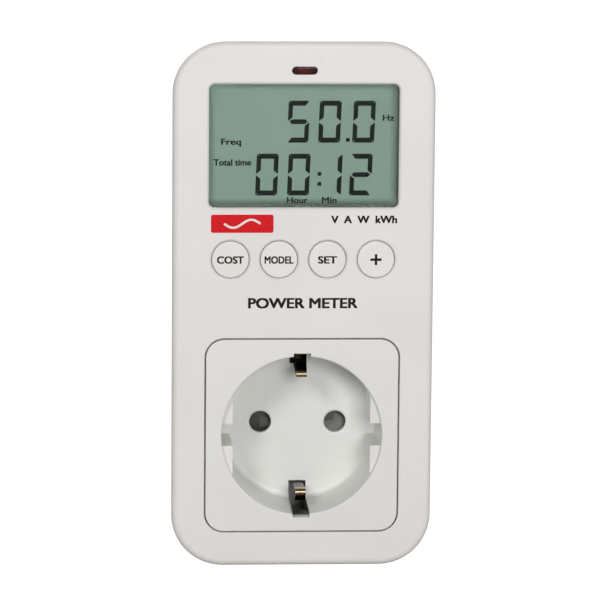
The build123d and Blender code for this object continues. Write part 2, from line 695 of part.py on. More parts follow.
def key_switch(x):
    start = DISPLAY_BOARD_DEPTH - SWITCH_HEIGHT
    body = box(SWITCH_SIDE, SWITCH_SIDE, start, DISPLAY_BOARD_DEPTH - TOUCH, x, KEY_Z)
    return body - rod(PLUNGER_RADIUS + FIT, start - 1, DISPLAY_BOARD_DEPTH - SWITCH_FLOOR, x, KEY_Z)


def key_plunger(x):
    start = DISPLAY_BOARD_DEPTH - SWITCH_HEIGHT - PLUNGER_REACH
    end = DISPLAY_BOARD_DEPTH - SWITCH_FLOOR - KEY_TRAVEL - FIT
    return rod(PLUNGER_RADIUS, start, end, x, KEY_Z)


# Boards and what they carry

def board(width, bottom, top, start, screw_x, screw_zs, corner):
    plate = slab(rectangle(width, top - bottom, 0, (top + bottom) / 2, corner), start, start + BOARD)
    for side in SIDES:
        for z in screw_zs:
            plate -= rod(BOARD_SCREW_HOLE, start - 1, start + BOARD + 1, side * screw_x, z)
    return plate


def display_board():
    plate = board(
        DISPLAY_BOARD_WIDTH,
        DISPLAY_BOARD_BOTTOM,
        DISPLAY_BOARD_TOP,
        DISPLAY_BOARD_DEPTH,
        DISPLAY_SCREW_X,
        DISPLAY_SCREW_ZS,
        1.5,
    )
    corner_cut = rectangle(DISPLAY_BOARD_WIDTH, 20, 0, DISPLAY_BOARD_TOP - 10)
    rounded = rectangle(DISPLAY_BOARD_WIDTH, 40, 0, DISPLAY_BOARD_TOP - 20, DISPLAY_BOARD_TOP_CORNER)
    corner_cut -= rounded
    plate -= slab(corner_cut, DISPLAY_BOARD_DEPTH - 1, DISPLAY_BOARD_DEPTH + BOARD + 1)
    tab_top = LED_Z + LED_RADIUS
    tab = rectangle(10, tab_top - DISPLAY_BOARD_TOP + 2, 0, (tab_top + DISPLAY_BOARD_TOP - 2) / 2)
    return plate + slab(tab, DISPLAY_BOARD_DEPTH, DISPLAY_BOARD_DEPTH + BOARD)


def power_board():
    return board(
        POWER_BOARD_WIDTH,
        POWER_BOARD_BOTTOM,
        POWER_BOARD_TOP,
        POWER_BOARD_DEPTH,
        POWER_SCREW_X,
        POWER_SCREW_ZS,
        2.0,
    )


def board_header():
    """The pins that join the two boards, in their black strip."""
    start = DISPLAY_BOARD_DEPTH + BOARD + TOUCH
    end = POWER_BOARD_DEPTH - TOUCH
    strip_depth = HEADER_PITCH
    header = box(HEADER_PINS * HEADER_PITCH, strip_depth, end - strip_depth, end, 0, HEADER_Z)
    for i in range(HEADER_PINS):
        x = (i - (HEADER_PINS - 1) / 2) * HEADER_PITCH
        header += box(HEADER_PIN, HEADER_PIN, start, end - 2, x, HEADER_Z)
    return header


def microcontroller():
    z = 60
    chip = box(10, 10, BOARD_BACK, BOARD_BACK + 1.5, 0, z)
    for i in range(CHIP_LEGS):
        along = i - (CHIP_LEGS - 1) / 2
        chip += box(12.4, 0.4, BOARD_BACK, BOARD_BACK + 0.4, 0, z + along)
        chip += box(0.4, 12.4, BOARD_BACK, BOARD_BACK + 0.4, along, z)
    return chip


def lying_can(radius, length, x, z, middle_depth):
    """A round part lying along x."""
    can = Cylinder(radius, length, rotation=(0, 90, 0))
    return Pos(x, FRONT_Y + middle_depth, z) * can


def crystal():
    return lying_can(1.0, 6.0, 12, 60, BOARD_BACK + 1.0)


def metering_chip():
    chip = box(10.2, 4.0, POWER_BACK, POWER_BACK + 1.6, 8, 66)
    for i in range(CHIP_LEGS):
        x = 8 + (i - (CHIP_LEGS - 1) / 2) * 1.27
        chip += box(0.5, 6.2, POWER_BACK, POWER_BACK + 0.4, x, 66)
    return chip


def dropper_capacitor():
    body = box(18, 15, POWER_FRONT - 8.5, POWER_FRONT, -8, 47)
    return fillet(body.edges().filter_by(Axis.Y), 0.8)


def smoothing_capacitor():
    return lying_can(4.0, 12.0, 11, 47, POWER_FRONT - 4.0)


def varistor():
    disc = Cylinder(5.0, 4.0, rotation=(0, 90, 0))
    return Pos(-14, FRONT_Y + POWER_FRONT - 5.0, 63) * disc


def fuse():
    return lying_can(1.7, 8.0, 8, 60, POWER_FRONT - 1.7)


def rectifier():
    return box(8.4, 6.4, POWER_FRONT - 3.0, POWER_FRONT, -2, 63)


def backup_battery():
    cell = rod(7.8, POWER_BACK, POWER_BACK + 6.0, 0, 51)
    return round_edges_at(cell, POWER_BACK + 6.0, 0.6)


# Screws

def case_screws():
    return group(
        screw(sx * SCREW_X, sz * SCREW_Z, SCREW_SEAT, SCREW_HEAD, 2.0, SCREW_SHANK, 15.0)
        for sx, sz in CORNERS
    )


def carrier_screws():
    return group(
        screw(
            0,
            side * CARRIER_SCREW_Z,
            CARRIER_SCREW_SEAT,
            CARRIER_SCREW_HEAD,
            1.4,
            SMALL_SCREW,
            10.5,
        )
        for side in SIDES
    )


def display_board_screws():
    seat = DISPLAY_BOARD_DEPTH + BOARD
    return group(
        screw(side * DISPLAY_SCREW_X, z, seat, 1.8, 1.2, SMALL_SCREW, 6.0)
        for side in SIDES
        for z in DISPLAY_SCREW_ZS
    )


def power_board_screws():
    """These go in from the front, before the two halves of the case close."""
    parts = []
    for side in SIDES:
        for z in POWER_SCREW_ZS:
            x = side * POWER_SCREW_X
            seat = POWER_BOARD_DEPTH
            body = rod(2.0, seat - 1.3, seat, x, z) + rod(SMALL_SCREW, seat, seat + 7.0, x, z)
            slot = rectangle(2.2, 0.55, x, z) + rectangle(0.55, 2.2, x, z)
            parts.append(body - slab(slot, seat - 2, seat - 0.65))
    return group(parts)


def build_parts():
    parts = {
        "front_cover": front_cover(),
        "rear_cover": rear_cover(),
        "plug_body": plug_body(),
        "rating_label": rating_label(),
        "socket_insert": socket_insert(),
        "earth_clip_top": earth_clip(1),
        "earth_clip_bottom": earth_clip(-1),
        "earth_ring": earth_ring(),
        "plug_earth_strip_top": plug_earth_strip(1),
        "plug_earth_strip_bottom": plug_earth_strip(-1),
        "shutter": shutter(),
        "shutter_spring": shutter_spring(),
        "contact_carrier": contact_carrier(),
        "line_contact": socket_contact(-1),
        "neutral_contact": socket_contact(1),
        "current_shunt": link_strip(-1),
        "neutral_busbar": link_strip(1),
        "line_plug_pin": plug_pin(-1),
        "neutral_plug_pin": plug_pin(1),
        "pin_carrier": pin_carrier(),
        "line_lead": supply_lead(-1),
        "neutral_lead": supply_lead(1),
        "lcd_window": lcd_window(),
        "lcd_glass": lcd_glass(),
        "lcd_holder": lcd_holder(),
        "zebra_strips": zebra_strips(),
        "led_window": led_window(),
        "status_led": status_led(),
        "display_board": display_board(),
        "power_board": power_board(),
        "board_header": board_header(),
        "microcontroller": microcontroller(),
        "crystal": crystal(),
        "metering_chip": metering_chip(),
        "dropper_capacitor": dropper_capacitor(),
        "smoothing_capacitor": smoothing_capacitor(),
        "varistor": varistor(),
        "fuse": fuse(),
        "rectifier": rectifier(),
        "backup_battery": backup_battery(),
        "case_screws": case_screws(),
        "carrier_screws": carrier_screws(),
        "display_board_screws": display_board_screws(),
        "power_board_screws": power_board_screws(),
    }
    for name, x in zip(KEYS, KEY_XS):
        parts[f"{name}_button"] = key_button(x)
        parts[f"{name}_switch"] = key_switch(x)
        parts[f"{name}_switch_plunger"] = key_plunger(x)
    return parts


os.makedirs("parts", exist_ok=True)
for node, shape in build_parts().items():
    export_step(shape, f"parts/{node}.step")
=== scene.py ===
"""Plug-in power meter: finishes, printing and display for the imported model, with its studio."""

import math

import bmesh
import bpy
from mathutils import Matrix, Vector


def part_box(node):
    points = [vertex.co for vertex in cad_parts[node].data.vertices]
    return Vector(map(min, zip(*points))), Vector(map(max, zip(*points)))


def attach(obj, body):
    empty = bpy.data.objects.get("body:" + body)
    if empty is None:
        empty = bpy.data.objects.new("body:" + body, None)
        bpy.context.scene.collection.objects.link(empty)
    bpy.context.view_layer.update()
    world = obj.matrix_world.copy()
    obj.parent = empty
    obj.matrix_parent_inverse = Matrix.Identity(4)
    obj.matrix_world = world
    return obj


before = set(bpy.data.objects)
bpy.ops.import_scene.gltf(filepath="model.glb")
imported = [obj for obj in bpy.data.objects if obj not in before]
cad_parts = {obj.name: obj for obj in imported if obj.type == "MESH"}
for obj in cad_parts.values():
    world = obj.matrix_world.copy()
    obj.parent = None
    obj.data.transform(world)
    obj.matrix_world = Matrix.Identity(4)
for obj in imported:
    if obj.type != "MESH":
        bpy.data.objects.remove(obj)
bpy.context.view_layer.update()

MM = 0.001

# Where things are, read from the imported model
FACE_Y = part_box("front_cover")[0].y
CASE_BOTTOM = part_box("front_cover")[0].z
GLASS_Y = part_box("lcd_glass")[0].y
WINDOW_LOW, WINDOW_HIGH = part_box("lcd_window")

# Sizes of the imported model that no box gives
WINDOW_LIP = 2.0 * MM
PIN_SIDE = 9.5 * MM
PIN_HOLE_RIM = 3.2 * MM
PIN_RIM_FADE = 0.2 * MM
SLOT_HALF = 2.15 * MM
SLOT_INNER = 15.1 * MM
CLIP_FROM = 12 * MM
CLIP_END = FACE_Y + 19 * MM

# Printing
INK_PROUD = 0.025 * MM
INK_SUNK = 0.03 * MM
FONT_CAPITAL = 0.682  # height of a capital in the built-in typeface, of 1
THICKEN_UP = 0.6  # how far print thickens upwards, of how far it does sideways

# Display figures
FIGURE_WIDTH = 6.0 * MM
FIGURE_HEIGHT = 10.43 * MM
BAR_THICK = 1.26 * MM
BAR_GAP = 0.2 * MM
FIGURE_LEAN = 0.038
FILM = 0.05 * MM

# Camera and studio
CAMERA_DISTANCE = 1.0
CAMERA_LEFT = math.radians(3.65)
CAMERA_ABOVE = math.radians(9.75)
CAMERA_ROLL = math.radians(0.5)
CAMERA_REACH = 13.43  # focal length over half the frame's width
CAMERA_VIEW = 2 * math.atan(1 / CAMERA_REACH)
AIM = Vector((-0.74 * MM, FACE_Y, 34.4 * MM))
FLOOR_GLOW = 0.25
FLOOR_SEEN = 1.2
AIR_LIGHT = 0.14


# Modelling helpers

def only(piece):
    bpy.ops.object.select_all(action="DESELECT")
    piece.select_set(True)
    bpy.context.view_layer.objects.active = piece


def start_piece(name):
    """Names the primitive that was just added and goes into edit mode with nothing selected."""
    piece = bpy.context.object
    piece.name = piece.data.name = name
    only(piece)
    bpy.ops.object.transform_apply(location=True, rotation=True, scale=True)
    bpy.ops.object.mode_set(mode="EDIT")
    bpy.ops.mesh.select_all(action="DESELECT")
    return piece


def pick_faces(piece, test):
    shape = bmesh.from_edit_mesh(piece.data)
    bpy.ops.mesh.select_all(action="DESELECT")
    for face in shape.faces:
        if test(face.normal, face.calc_center_median()):
            face.select_set(True)
    bmesh.update_edit_mesh(piece.data)


def pick_edges(piece, test):
    shape = bmesh.from_edit_mesh(piece.data)
    bpy.ops.mesh.select_all(action="DESELECT")
    for edge in shape.edges:
        a, b = (v.co for v in edge.verts)
        if test(a, b):
            edge.select_set(True)
    bmesh.update_edit_mesh(piece.data)


def end_piece():
    bpy.ops.mesh.select_all(action="SELECT")
    bpy.ops.mesh.remove_doubles(threshold=1e-7)
    bpy.ops.mesh.normals_make_consistent(inside=False)
    bpy.ops.object.mode_set(mode="OBJECT")


def across(a, b):
    """True for an edge that runs through the thickness."""
    return abs(a.y - b.y) > 1e-6 and abs(a.x - b.x) < 1e-7 and abs(a.z - b.z) < 1e-7


def copy_of(piece, name, matrix):
    """A copy with its own mesh, carried to its place."""
    mesh = piece.data.copy()
    mesh.transform(matrix)
    if matrix.determinant() < 0:
        mesh.flip_normals()
    twin = bpy.data.objects.new(name, mesh)
    bpy.context.scene.collection.objects.link(twin)
    return twin


def join(pieces, name):
    bpy.ops.object.select_all(action="DESELECT")
    for piece in pieces:
        piece.select_set(True)
    bpy.context.view_layer.objects.active = pieces[0]
    if len(pieces) > 1:
        bpy.ops.object.join()
    whole = bpy.context.object
    whole.name = whole.data.name = name
    return whole


def remove(piece):
    bpy.data.objects.remove(piece, do_unlink=True)


def finish_piece(piece, finish, body="meter"):
    piece.data.materials.clear()
    piece.data.materials.append(finish)
    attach(piece, body)
    return piece


# Shader helpers

def node(tree, kind, inputs=None, **settings):
    made = tree.nodes.new(kind)
    for key, value in settings.items():
        setattr(made, key, value)
    for key, value in (inputs or {}).items():
        socket = made.inputs[key]
        if isinstance(value, bpy.types.NodeSocket):
            tree.links.new(value, socket)
        else:
            socket.default_value = value
    return made


def colour(r, g, b):
    return (r, g, b, 1.0)


def shader_group(name, inputs, outputs):
    """A node group with named sockets. Returns the tree, its input node and its output node."""
    kinds = {"c": "NodeSocketColor", "f": "NodeSocketFloat", "v": "NodeSocketVector"}
    tree = bpy.data.node_groups.new(name, "ShaderNodeTree")
    for title, kind, default in inputs:
        socket = tree.interface.new_socket(title, in_out="INPUT", socket_type=kinds[kind])
        socket.default_value = default
    for title, kind in outputs:
        tree.interface.new_socket(title, in_out="OUTPUT", socket_type=kinds[kind])
    return tree, tree.nodes.new("NodeGroupInput"), tree.nodes.new("NodeGroupOutput")


def object_place(tree):
    return node(tree, "ShaderNodeTexCoord").outputs["Object"]


def noise(tree, place, scale, detail=2.0, roughness=0.5):
    made = node(
        tree,
        "ShaderNodeTexNoise",
        {"Vector": place, "Scale": scale, "Detail": detail, "Roughness": roughness},
    )
    return made.outputs["Fac"]


def remap(tree, value, low, high, to_low=0.0, to_high=1.0, smooth=True):
    made = node(
        tree,
        "ShaderNodeMapRange",
        {"Value": value, "From Min": low, "From Max": high, "To Min": to_low, "To Max": to_high},
        interpolation_type="SMOOTHSTEP" if smooth else "LINEAR",
    )
    return made.outputs["Result"]


def sums(tree, operation, a, b=0.0, c=0.0):
    made = node(tree, "ShaderNodeMath", {0: a, 1: b, 2: c}, operation=operation)
    return made.outputs[0]


def blend_colours(tree, amount, a, b, blend="MIX"):
    made = node(tree, "ShaderNodeMix", data_type="RGBA", blend_type=blend)
    for index, value in ((0, amount), (6, a), (7, b)):
        if isinstance(value, bpy.types.NodeSocket):
            tree.links.new(value, made.inputs[index])
        else:
            made.inputs[index].default_value = value
    return made.outputs[2]


# Effects that several finishes share

def moulded_group():
    """Moulded plastic: faint patches of tint, a fine spark-eroded grain and an uneven gloss."""
    tree, take, give = shader_group(
        "moulded_surface",
        [
            ("Base", "c", colour(0.8, 0.8, 0.8)),
            ("Patch Tint", "c", colour(0.8, 0.8, 0.8)),
            ("Patch Scale", "f", 60.0),
            ("Grain Scale", "f", 3000.0),
            ("Grain Shade", "f", 0.03),
            ("Roughness", "f", 0.45),
            ("Roughness Spread", "f", 0.08),
        ],
        [("Color", "c"), ("Roughness", "f"), ("Height", "f")],
    )
    place = object_place(tree)
    patches = remap(tree, noise(tree, place, take.outputs["Patch Scale"], 3.0), 0.35, 0.65)
    tinted = blend_colours(tree, patches, take.outputs["Base"], take.outputs["Patch Tint"])
    grain = noise(tree, place, take.outputs["Grain Scale"], 2.0, 0.6)
    pits = remap(tree, grain, 0.3, 0.5)
    shade = sums(tree, "MULTIPLY", sums(tree, "SUBTRACT", 1.0, pits), take.outputs["Grain Shade"])
    dark = blend_colours(tree, shade, tinted, colour(0.2, 0.19, 0.18))
    uneven = sums(tree, "SUBTRACT", noise(tree, place, 420.0, 2.0), 0.5)
    rough = sums(
        tree, "MULTIPLY_ADD", uneven, take.outputs["Roughness Spread"], take.outputs["Roughness"]
    )
    tree.links.new(dark, give.inputs["Color"])
    tree.links.new(rough, give.inputs["Roughness"])
    tree.links.new(grain, give.inputs["Height"])
    return tree


def brushed_group():
    """Rolled, drawn or plated metal: fine lines one way and cloudy tarnish."""
    tree, take, give = shader_group(
        "worked_metal",
        [
            ("Base", "c", colour(0.7, 0.7, 0.7)),
            ("Tarnish", "c", colour(0.4, 0.4, 0.4)),
            ("Tarnish Amount", "f", 0.4),
            ("Line Stretch", "v", (1.0, 1.0, 12.0)),
            ("Line Scale", "f", 900.0),
            ("Roughness", "f", 0.3),
        ],
        [("Color", "c"), ("Roughness", "f"), ("Height", "f")],
    )
    place = object_place(tree)
    stretched = node(
        tree,
        "ShaderNodeVectorMath",
        {0: place, 1: take.outputs["Line Stretch"]},
        operation="MULTIPLY",
    ).outputs[0]
    lines = noise(tree, stretched, take.outputs["Line Scale"], 3.0, 0.7)
    clouds = remap(tree, noise(tree, place, 260.0, 4.0), 0.4, 0.7)
    amount = sums(tree, "MULTIPLY", clouds, take.outputs["Tarnish Amount"])
    base = blend_colours(tree, amount, take.outputs["Base"], take.outputs["Tarnish"])
    lined = blend_colours(
        tree, sums(tree, "MULTIPLY", lines, 0.25), base, take.outputs["Tarnish"]
    )
    rough = sums(tree, "ADD", take.outputs["Roughness"], sums(tree, "MULTIPLY", amount, 0.3))
    rough = sums(tree, "ADD", rough, sums(tree, "MULTIPLY", lines, 0.08))
    tree.links.new(lined, give.inputs["Color"])
    tree.links.new(rough, give.inputs["Roughness"])
    tree.links.new(lines, give.inputs["Height"])
    return tree


def dust_group():
    """A few small specks, as a mask."""
    tree, take, give = shader_group(
        "fine_specks", [("Scale", "f", 500.0), ("Size", "f", 0.1)], [("Mask", "f")]
    )
    cells = node(
        tree, "ShaderNodeTexVoronoi", {"Vector": object_place(tree), "Scale": take.outputs["Scale"]}
    )
    near = sums(tree, "LESS_THAN", cells.outputs["Distance"], take.outputs["Size"])
    few = noise(tree, object_place(tree), 90.0, 2.0)
    mask = sums(tree, "MULTIPLY", near, remap(tree, few, 0.55, 0.7))
    tree.links.new(mask, give.inputs["Mask"])
    return tree


MOULDED = moulded_group()
WORKED = brushed_group()
SPECKS = dust_group()


def new_finish(name):
    finish = bpy.data.materials.new(name)
    finish.use_nodes = True
    tree = finish.node_tree
    tree.nodes.clear()
    shader = tree.nodes.new("ShaderNodeBsdfPrincipled")
    output = tree.nodes.new("ShaderNodeOutputMaterial")
    tree.links.new(shader.outputs[0], output.inputs[0])
    return finish, tree, shader, output


def place_group(tree, group, inputs):
    made = tree.nodes.new("ShaderNodeGroup")
    made.node_tree = group
    for key, value in inputs.items():
        made.inputs[key].default_value = value
    return made


def add_bump(tree, shader, height, distance, strength=1.0):
    bump = node(
        tree, "ShaderNodeBump", {"Height": height, "Distance": distance, "Strength": strength}
    )
    tree.links.new(bump.outputs[0], shader.inputs["Normal"])


def add_specks(tree, shader, base, scale, size, tint):
    specks = place_group(tree, SPECKS, {"Scale": scale, "Size": size})
    mixed = blend_colours(tree, specks.outputs["Mask"], base, tint)
    tree.links.new(mixed, shader.inputs["Base Color"])


def plastic(name, base, tint, rough, grain_scale=3000.0, grain_depth=0.012, **more):
    """A moulded plastic finish. Returns the material with its tree, shader and group node."""
    finish, tree, shader, _ = new_finish(name)
    moulded = place_group(
        tree,
        MOULDED,
        {
            "Base": base,
            "Patch Tint": tint,
            "Patch Scale": more.get("patch", 60.0),
            "Grain Scale": grain_scale,
            "Grain Shade": more.get("shade", 0.03),
            "Roughness": rough,
            "Roughness Spread": more.get("spread", 0.08),
        },
    )
    add_specks(
        tree,
        shader,
        moulded.outputs["Color"],
        more.get("speck_scale", 260.0),
        more.get("speck_size", 0.03),
        more.get("speck_tint", colour(0.45, 0.43, 0.40)),
    )
    tree.links.new(moulded.outputs["Roughness"], shader.inputs["Roughness"])
    add_bump(tree, shader, moulded.outputs["Height"], grain_depth * MM)
    shader.inputs["IOR"].default_value = 1.5
    return finish, tree, shader, moulded


def metal_parts(name, base, tarnish, rough, amount=0.4, stretch=(1.0, 1.0, 12.0), depth=0.004):
    """A worked metal finish. Returns the material with its tree, shader and group node."""
    finish, tree, shader, _ = new_finish(name)
    worked = place_group(
        tree,
        WORKED,
        {
            "Base": base,
            "Tarnish": tarnish,
            "Tarnish Amount": amount,
            "Line Stretch": stretch,
            "Roughness": rough,
        },
    )
    tree.links.new(worked.outputs["Color"], shader.inputs["Base Color"])
    tree.links.new(worked.outputs["Roughness"], shader.inputs["Roughness"])
    add_bump(tree, shader, worked.outputs["Height"], depth * MM)
    shader.inputs["Metallic"].default_value = 1.0
    return finish, tree, shader, worked


def metal(name, base, tarnish, rough, amount=0.4, **more):
    return metal_parts(name, base, tarnish, rough, amount, **more)[0]


# Finishes of the outside

def case_finish():
    return simple_plastic(
        "satin_case",
        colour(0.795, 0.765, 0.735),
        colour(0.815, 0.785, 0.76),
        0.5,
        grain_scale=2600.0,
        grain_depth=0.014,
        patch=45.0,
    )


def insert_finish():
    """The socket's plastic: smooth, with a painted highlight ring round each pin hole and painted
    shade inside the clip slots.
    """
    finish, tree, shader, moulded = plastic(
        "socket_thermoset",
        colour(0.79, 0.775, 0.74),
        colour(0.81, 0.795, 0.765),
        0.38,
        grain_scale=3600.0,
        grain_depth=0.006,
        patch=80.0,
    )
    split = node(tree, "ShaderNodeSeparateXYZ", {0: object_place(tree)})
    depth = split.outputs["Y"]
    inside = remap(tree, depth, FACE_Y + 0.5 * MM, FACE_Y + 6 * MM)
    deep = blend_colours(
        tree,
        sums(tree, "MULTIPLY", inside, 0.5),
        moulded.outputs["Color"],
        colour(0.775, 0.785, 0.755),
    )
    side = sums(tree, "ABSOLUTE", split.outputs["X"])
    height = sums(tree, "ABSOLUTE", split.outputs["Z"])
    off_hole = sums(tree, "SUBTRACT", side, PIN_SIDE)
    from_hole = sums(
        tree,
        "SQRT",
        sums(
            tree,
            "ADD",
            sums(tree, "MULTIPLY", off_hole, off_hole),
            sums(tree, "MULTIPLY", height, height),
        ),
    )
    # A light ring round each pin hole: a painted highlight.
    rim = remap(tree, from_hole, PIN_HOLE_RIM, PIN_HOLE_RIM + PIN_RIM_FADE, 0.8, 0.0)
    painted_rim_highlight = blend_colours(tree, rim, deep, colour(0.93, 0.92, 0.90))
    # Near black inside the clip slots, deeper than 2 mm: painted shade.
    in_slot = sums(
        tree,
        "MULTIPLY",
        remap(tree, side, SLOT_HALF, SLOT_HALF + 0.05 * MM, 1.0, 0.0, smooth=False),
        remap(tree, height, SLOT_INNER, SLOT_INNER + 0.1 * MM, 0.0, 1.0, smooth=False),
    )
    shaded = sums(
        tree,
        "MULTIPLY",
        in_slot,
        remap(tree, depth, FACE_Y + 2 * MM, FACE_Y + 4 * MM),
    )
    slot_painted_shade = blend_colours(tree, shaded, painted_rim_highlight, colour(0.03, 0.03, 0.028))
    add_specks(tree, shader, slot_painted_shade, 300.0, 0.03, colour(0.5, 0.5, 0.46))
    return finish


def contact_finish():
    """Stamped brass, painted near black with shade on the lead-in and the deep leg of each earth
    clip, bright only at the bend.
    """
    finish, tree, shader, worked = metal_parts(
        "stamped_brass", colour(0.42, 0.32, 0.20), colour(0.20, 0.14, 0.09), 0.24, 0.5
    )
    split = node(tree, "ShaderNodeSeparateXYZ", {0: object_place(tree)})
    height = sums(tree, "ABSOLUTE", split.outputs["Z"])
    depth = split.outputs["Y"]
    # Near black on each earth clip's lead-in and deep leg: painted shade.
    lead_in_shade = remap(tree, height, 15.5 * MM, 16.2 * MM)
    deep_leg_shade = remap(tree, depth, FACE_Y + 5.4 * MM, FACE_Y + 7.2 * MM)
    on_clip = remap(tree, depth, CLIP_END, CLIP_END + 1 * MM, 1.0, 0.0)
    at_clip = remap(tree, height, CLIP_FROM, CLIP_FROM + 0.5 * MM)
    dark = sums(tree, "MULTIPLY", sums(tree, "MAXIMUM", lead_in_shade, deep_leg_shade), on_clip)
    dark = sums(tree, "MULTIPLY", dark, at_clip)
    tone = blend_colours(tree, dark, worked.outputs["Color"], colour(0.015, 0.013, 0.011))
    tree.links.new(tone, shader.inputs["Base Color"])
    return finish


def key_finish():
    return simple_plastic(
        "key_cap",
        colour(0.80, 0.775, 0.735),
        colour(0.82, 0.80, 0.765),
        0.36,
        grain_scale=4200.0,
        grain_depth=0.005,
        patch=120.0,
    )


def window_finish():
    """Clear acrylic. Light for what lies behind it passes straight through."""
    finish, tree, shader, output = new_finish("clear_acrylic")
    place = object_place(tree)
    haze = remap(tree, noise(tree, place, 150.0, 3.0), 0.4, 0.8, 0.0, 0.006)
    tree.links.new(haze, shader.inputs["Roughness"])
    tint = blend_colours(
        tree, noise(tree, place, 40.0), colour(0.975, 0.985, 0.98), colour(0.985, 0.99, 0.985)
    )
    tree.links.new(tint, shader.inputs["Base Color"])
    shader.inputs["Transmission Weight"].default_value = 1.0
    shader.inputs["IOR"].default_value = 1.2
    clear = node(tree, "ShaderNodeBsdfTransparent", {"Color": colour(0.97, 0.98, 0.975)})
    path = node(tree, "ShaderNodeLightPath")
    through = node(tree, "ShaderNodeMixShader")
    tree.links.new(path.outputs["Is Shadow Ray"], through.inputs[0])
    tree.links.new(shader.outputs[0], through.inputs[1])
    tree.links.new(clear.outputs[0], through.inputs[2])
    tree.links.new(through.outputs[0], output.inputs[0])
    return finish


def display_finish():
    """The cell's grey-green reflecting film, with a painted shadow of the window frame along the
    right, foot and top.
    """
    finish, tree, shader, _ = new_finish("display_film")
    place = object_place(tree)
    split = node(tree, "ShaderNodeSeparateXYZ", {0: place})
    x, z = split.outputs["X"], split.outputs["Z"]
    right = WINDOW_HIGH.x - WINDOW_LIP
    foot = WINDOW_LOW.z + WINDOW_LIP
    top = WINDOW_HIGH.z - WINDOW_LIP
    film = blend_colours(
        tree,
        remap(tree, noise(tree, place, 55.0, 3.0), 0.3, 0.7),
        colour(0.138, 0.196, 0.160),
        colour(0.146, 0.206, 0.170),
    )
    grain = noise(tree, place, 5200.0, 2.0)
    film = blend_colours(tree, sums(tree, "MULTIPLY", grain, 0.10), film, colour(0.12, 0.17, 0.14))
    # Darker bands along the right, the foot and the top: painted shadow of the window frame.
    side_band = remap(tree, x, right - 2.6 * MM, right - 0.1 * MM, 0.0, 0.62)
    foot_band = remap(tree, z, foot + 0.1 * MM, foot + 2.4 * MM, 0.85, 0.0)
    top_band = remap(tree, z, top - 0.7 * MM, top - 0.1 * MM, 0.0, 0.5)
    frame_painted_shadow = sums(tree, "MAXIMUM", sums(tree, "MAXIMUM", side_band, foot_band), top_band)
    film = blend_colours(tree, frame_painted_shadow, film, colour(0.035, 0.045, 0.038))
    tree.links.new(film, shader.inputs["Base Color"])
    rough = remap(tree, noise(tree, place, 700.0, 2.0), 0.3, 0.7, 0.5, 0.62)
    tree.links.new(rough, shader.inputs["Roughness"])
    shader.inputs["Specular IOR Level"].default_value = 0.06
    add_bump(tree, shader, grain, 0.002 * MM)
    return finish


def segment_finish():
    finish, tree, shader, _ = new_finish("display_segments")
    place = object_place(tree)
    tone = blend_colours(
        tree, noise(tree, place, 900.0), colour(0.004, 0.005, 0.005), colour(0.012, 0.014, 0.013)
    )
    tree.links.new(tone, shader.inputs["Base Color"])
    tree.links.new(
        remap(tree, noise(tree, place, 1500.0), 0.3, 0.7, 0.7, 0.85), shader.inputs["Roughness"]
    )
    shader.inputs["Specular IOR Level"].default_value = 0.0
    return finish


def ink_finish(name, base, tint):
    """Pad-printed ink: thin, slightly mottled, with the case's grain showing through."""
    finish, tree, shader, _ = new_finish(name)
    place = object_place(tree)
    mottle = remap(tree, noise(tree, place, 1800.0, 3.0), 0.35, 0.75)
    tree.links.new(blend_colours(tree, mottle, base, tint), shader.inputs["Base Color"])
    grain = noise(tree, place, 2600.0, 2.0, 0.6)
    tree.links.new(remap(tree, grain, 0.3, 0.7, 0.6, 0.75), shader.inputs["Roughness"])
    shader.inputs["Specular IOR Level"].default_value = 0.08
    add_bump(tree, shader, grain, 0.01 * MM)
    return finish


def red_lens_finish():
    finish, tree, shader, output = new_finish("red_lens")
    place = object_place(tree)
    middle = node(tree, "ShaderNodeSeparateXYZ", {0: place}).outputs["X"]
    reach = sums(tree, "ABSOLUTE", middle)
    glow = remap(tree, reach, 0.0, 2.2 * MM, 1.0, 0.0)
    tint = blend_colours(tree, glow, colour(0.030, 0.001, 0.001), colour(0.09, 0.002, 0.002))
    tree.links.new(tint, shader.inputs["Base Color"])
    tree.links.new(
        remap(tree, noise(tree, place, 900.0), 0.3, 0.7, 0.08, 0.18), shader.inputs["Roughness"]
    )
    shader.inputs["Transmission Weight"].default_value = 0.15
    shader.inputs["Specular IOR Level"].default_value = 0.25
    shader.inputs["IOR"].default_value = 1.49
    clear = node(tree, "ShaderNodeBsdfTransparent", {"Color": colour(0.6, 0.06, 0.06)})
    path = node(tree, "ShaderNodeLightPath")
    through = node(tree, "ShaderNodeMixShader")
    tree.links.new(path.outputs["Is Shadow Ray"], through.inputs[0])
    tree.links.new(shader.outputs[0], through.inputs[1])
    tree.links.new(clear.outputs[0], through.inputs[2])
    tree.links.new(through.outputs[0], output.inputs[0])
    return finish


def red_led_finish():
    finish, tree, shader, _ = new_finish("red_lamp")
    place = object_place(tree)
    cloud = remap(tree, noise(tree, place, 1200.0, 3.0), 0.3, 0.7)
    tree.links.new(
        blend_colours(tree, cloud, colour(0.6, 0.03, 0.02), colour(0.75, 0.06, 0.04)),
        shader.inputs["Base Color"],
    )
    tree.links.new(
        blend_colours(tree, cloud, colour(0.9, 0.02, 0.01), colour(1.0, 0.05, 0.02)),
        shader.inputs["Emission Color"],
    )
    shader.inputs["Emission Strength"].default_value = 0.35
    tree.links.new(remap(tree, cloud, 0.0, 1.0, 0.2, 0.3), shader.inputs["Roughness"])
    return finish


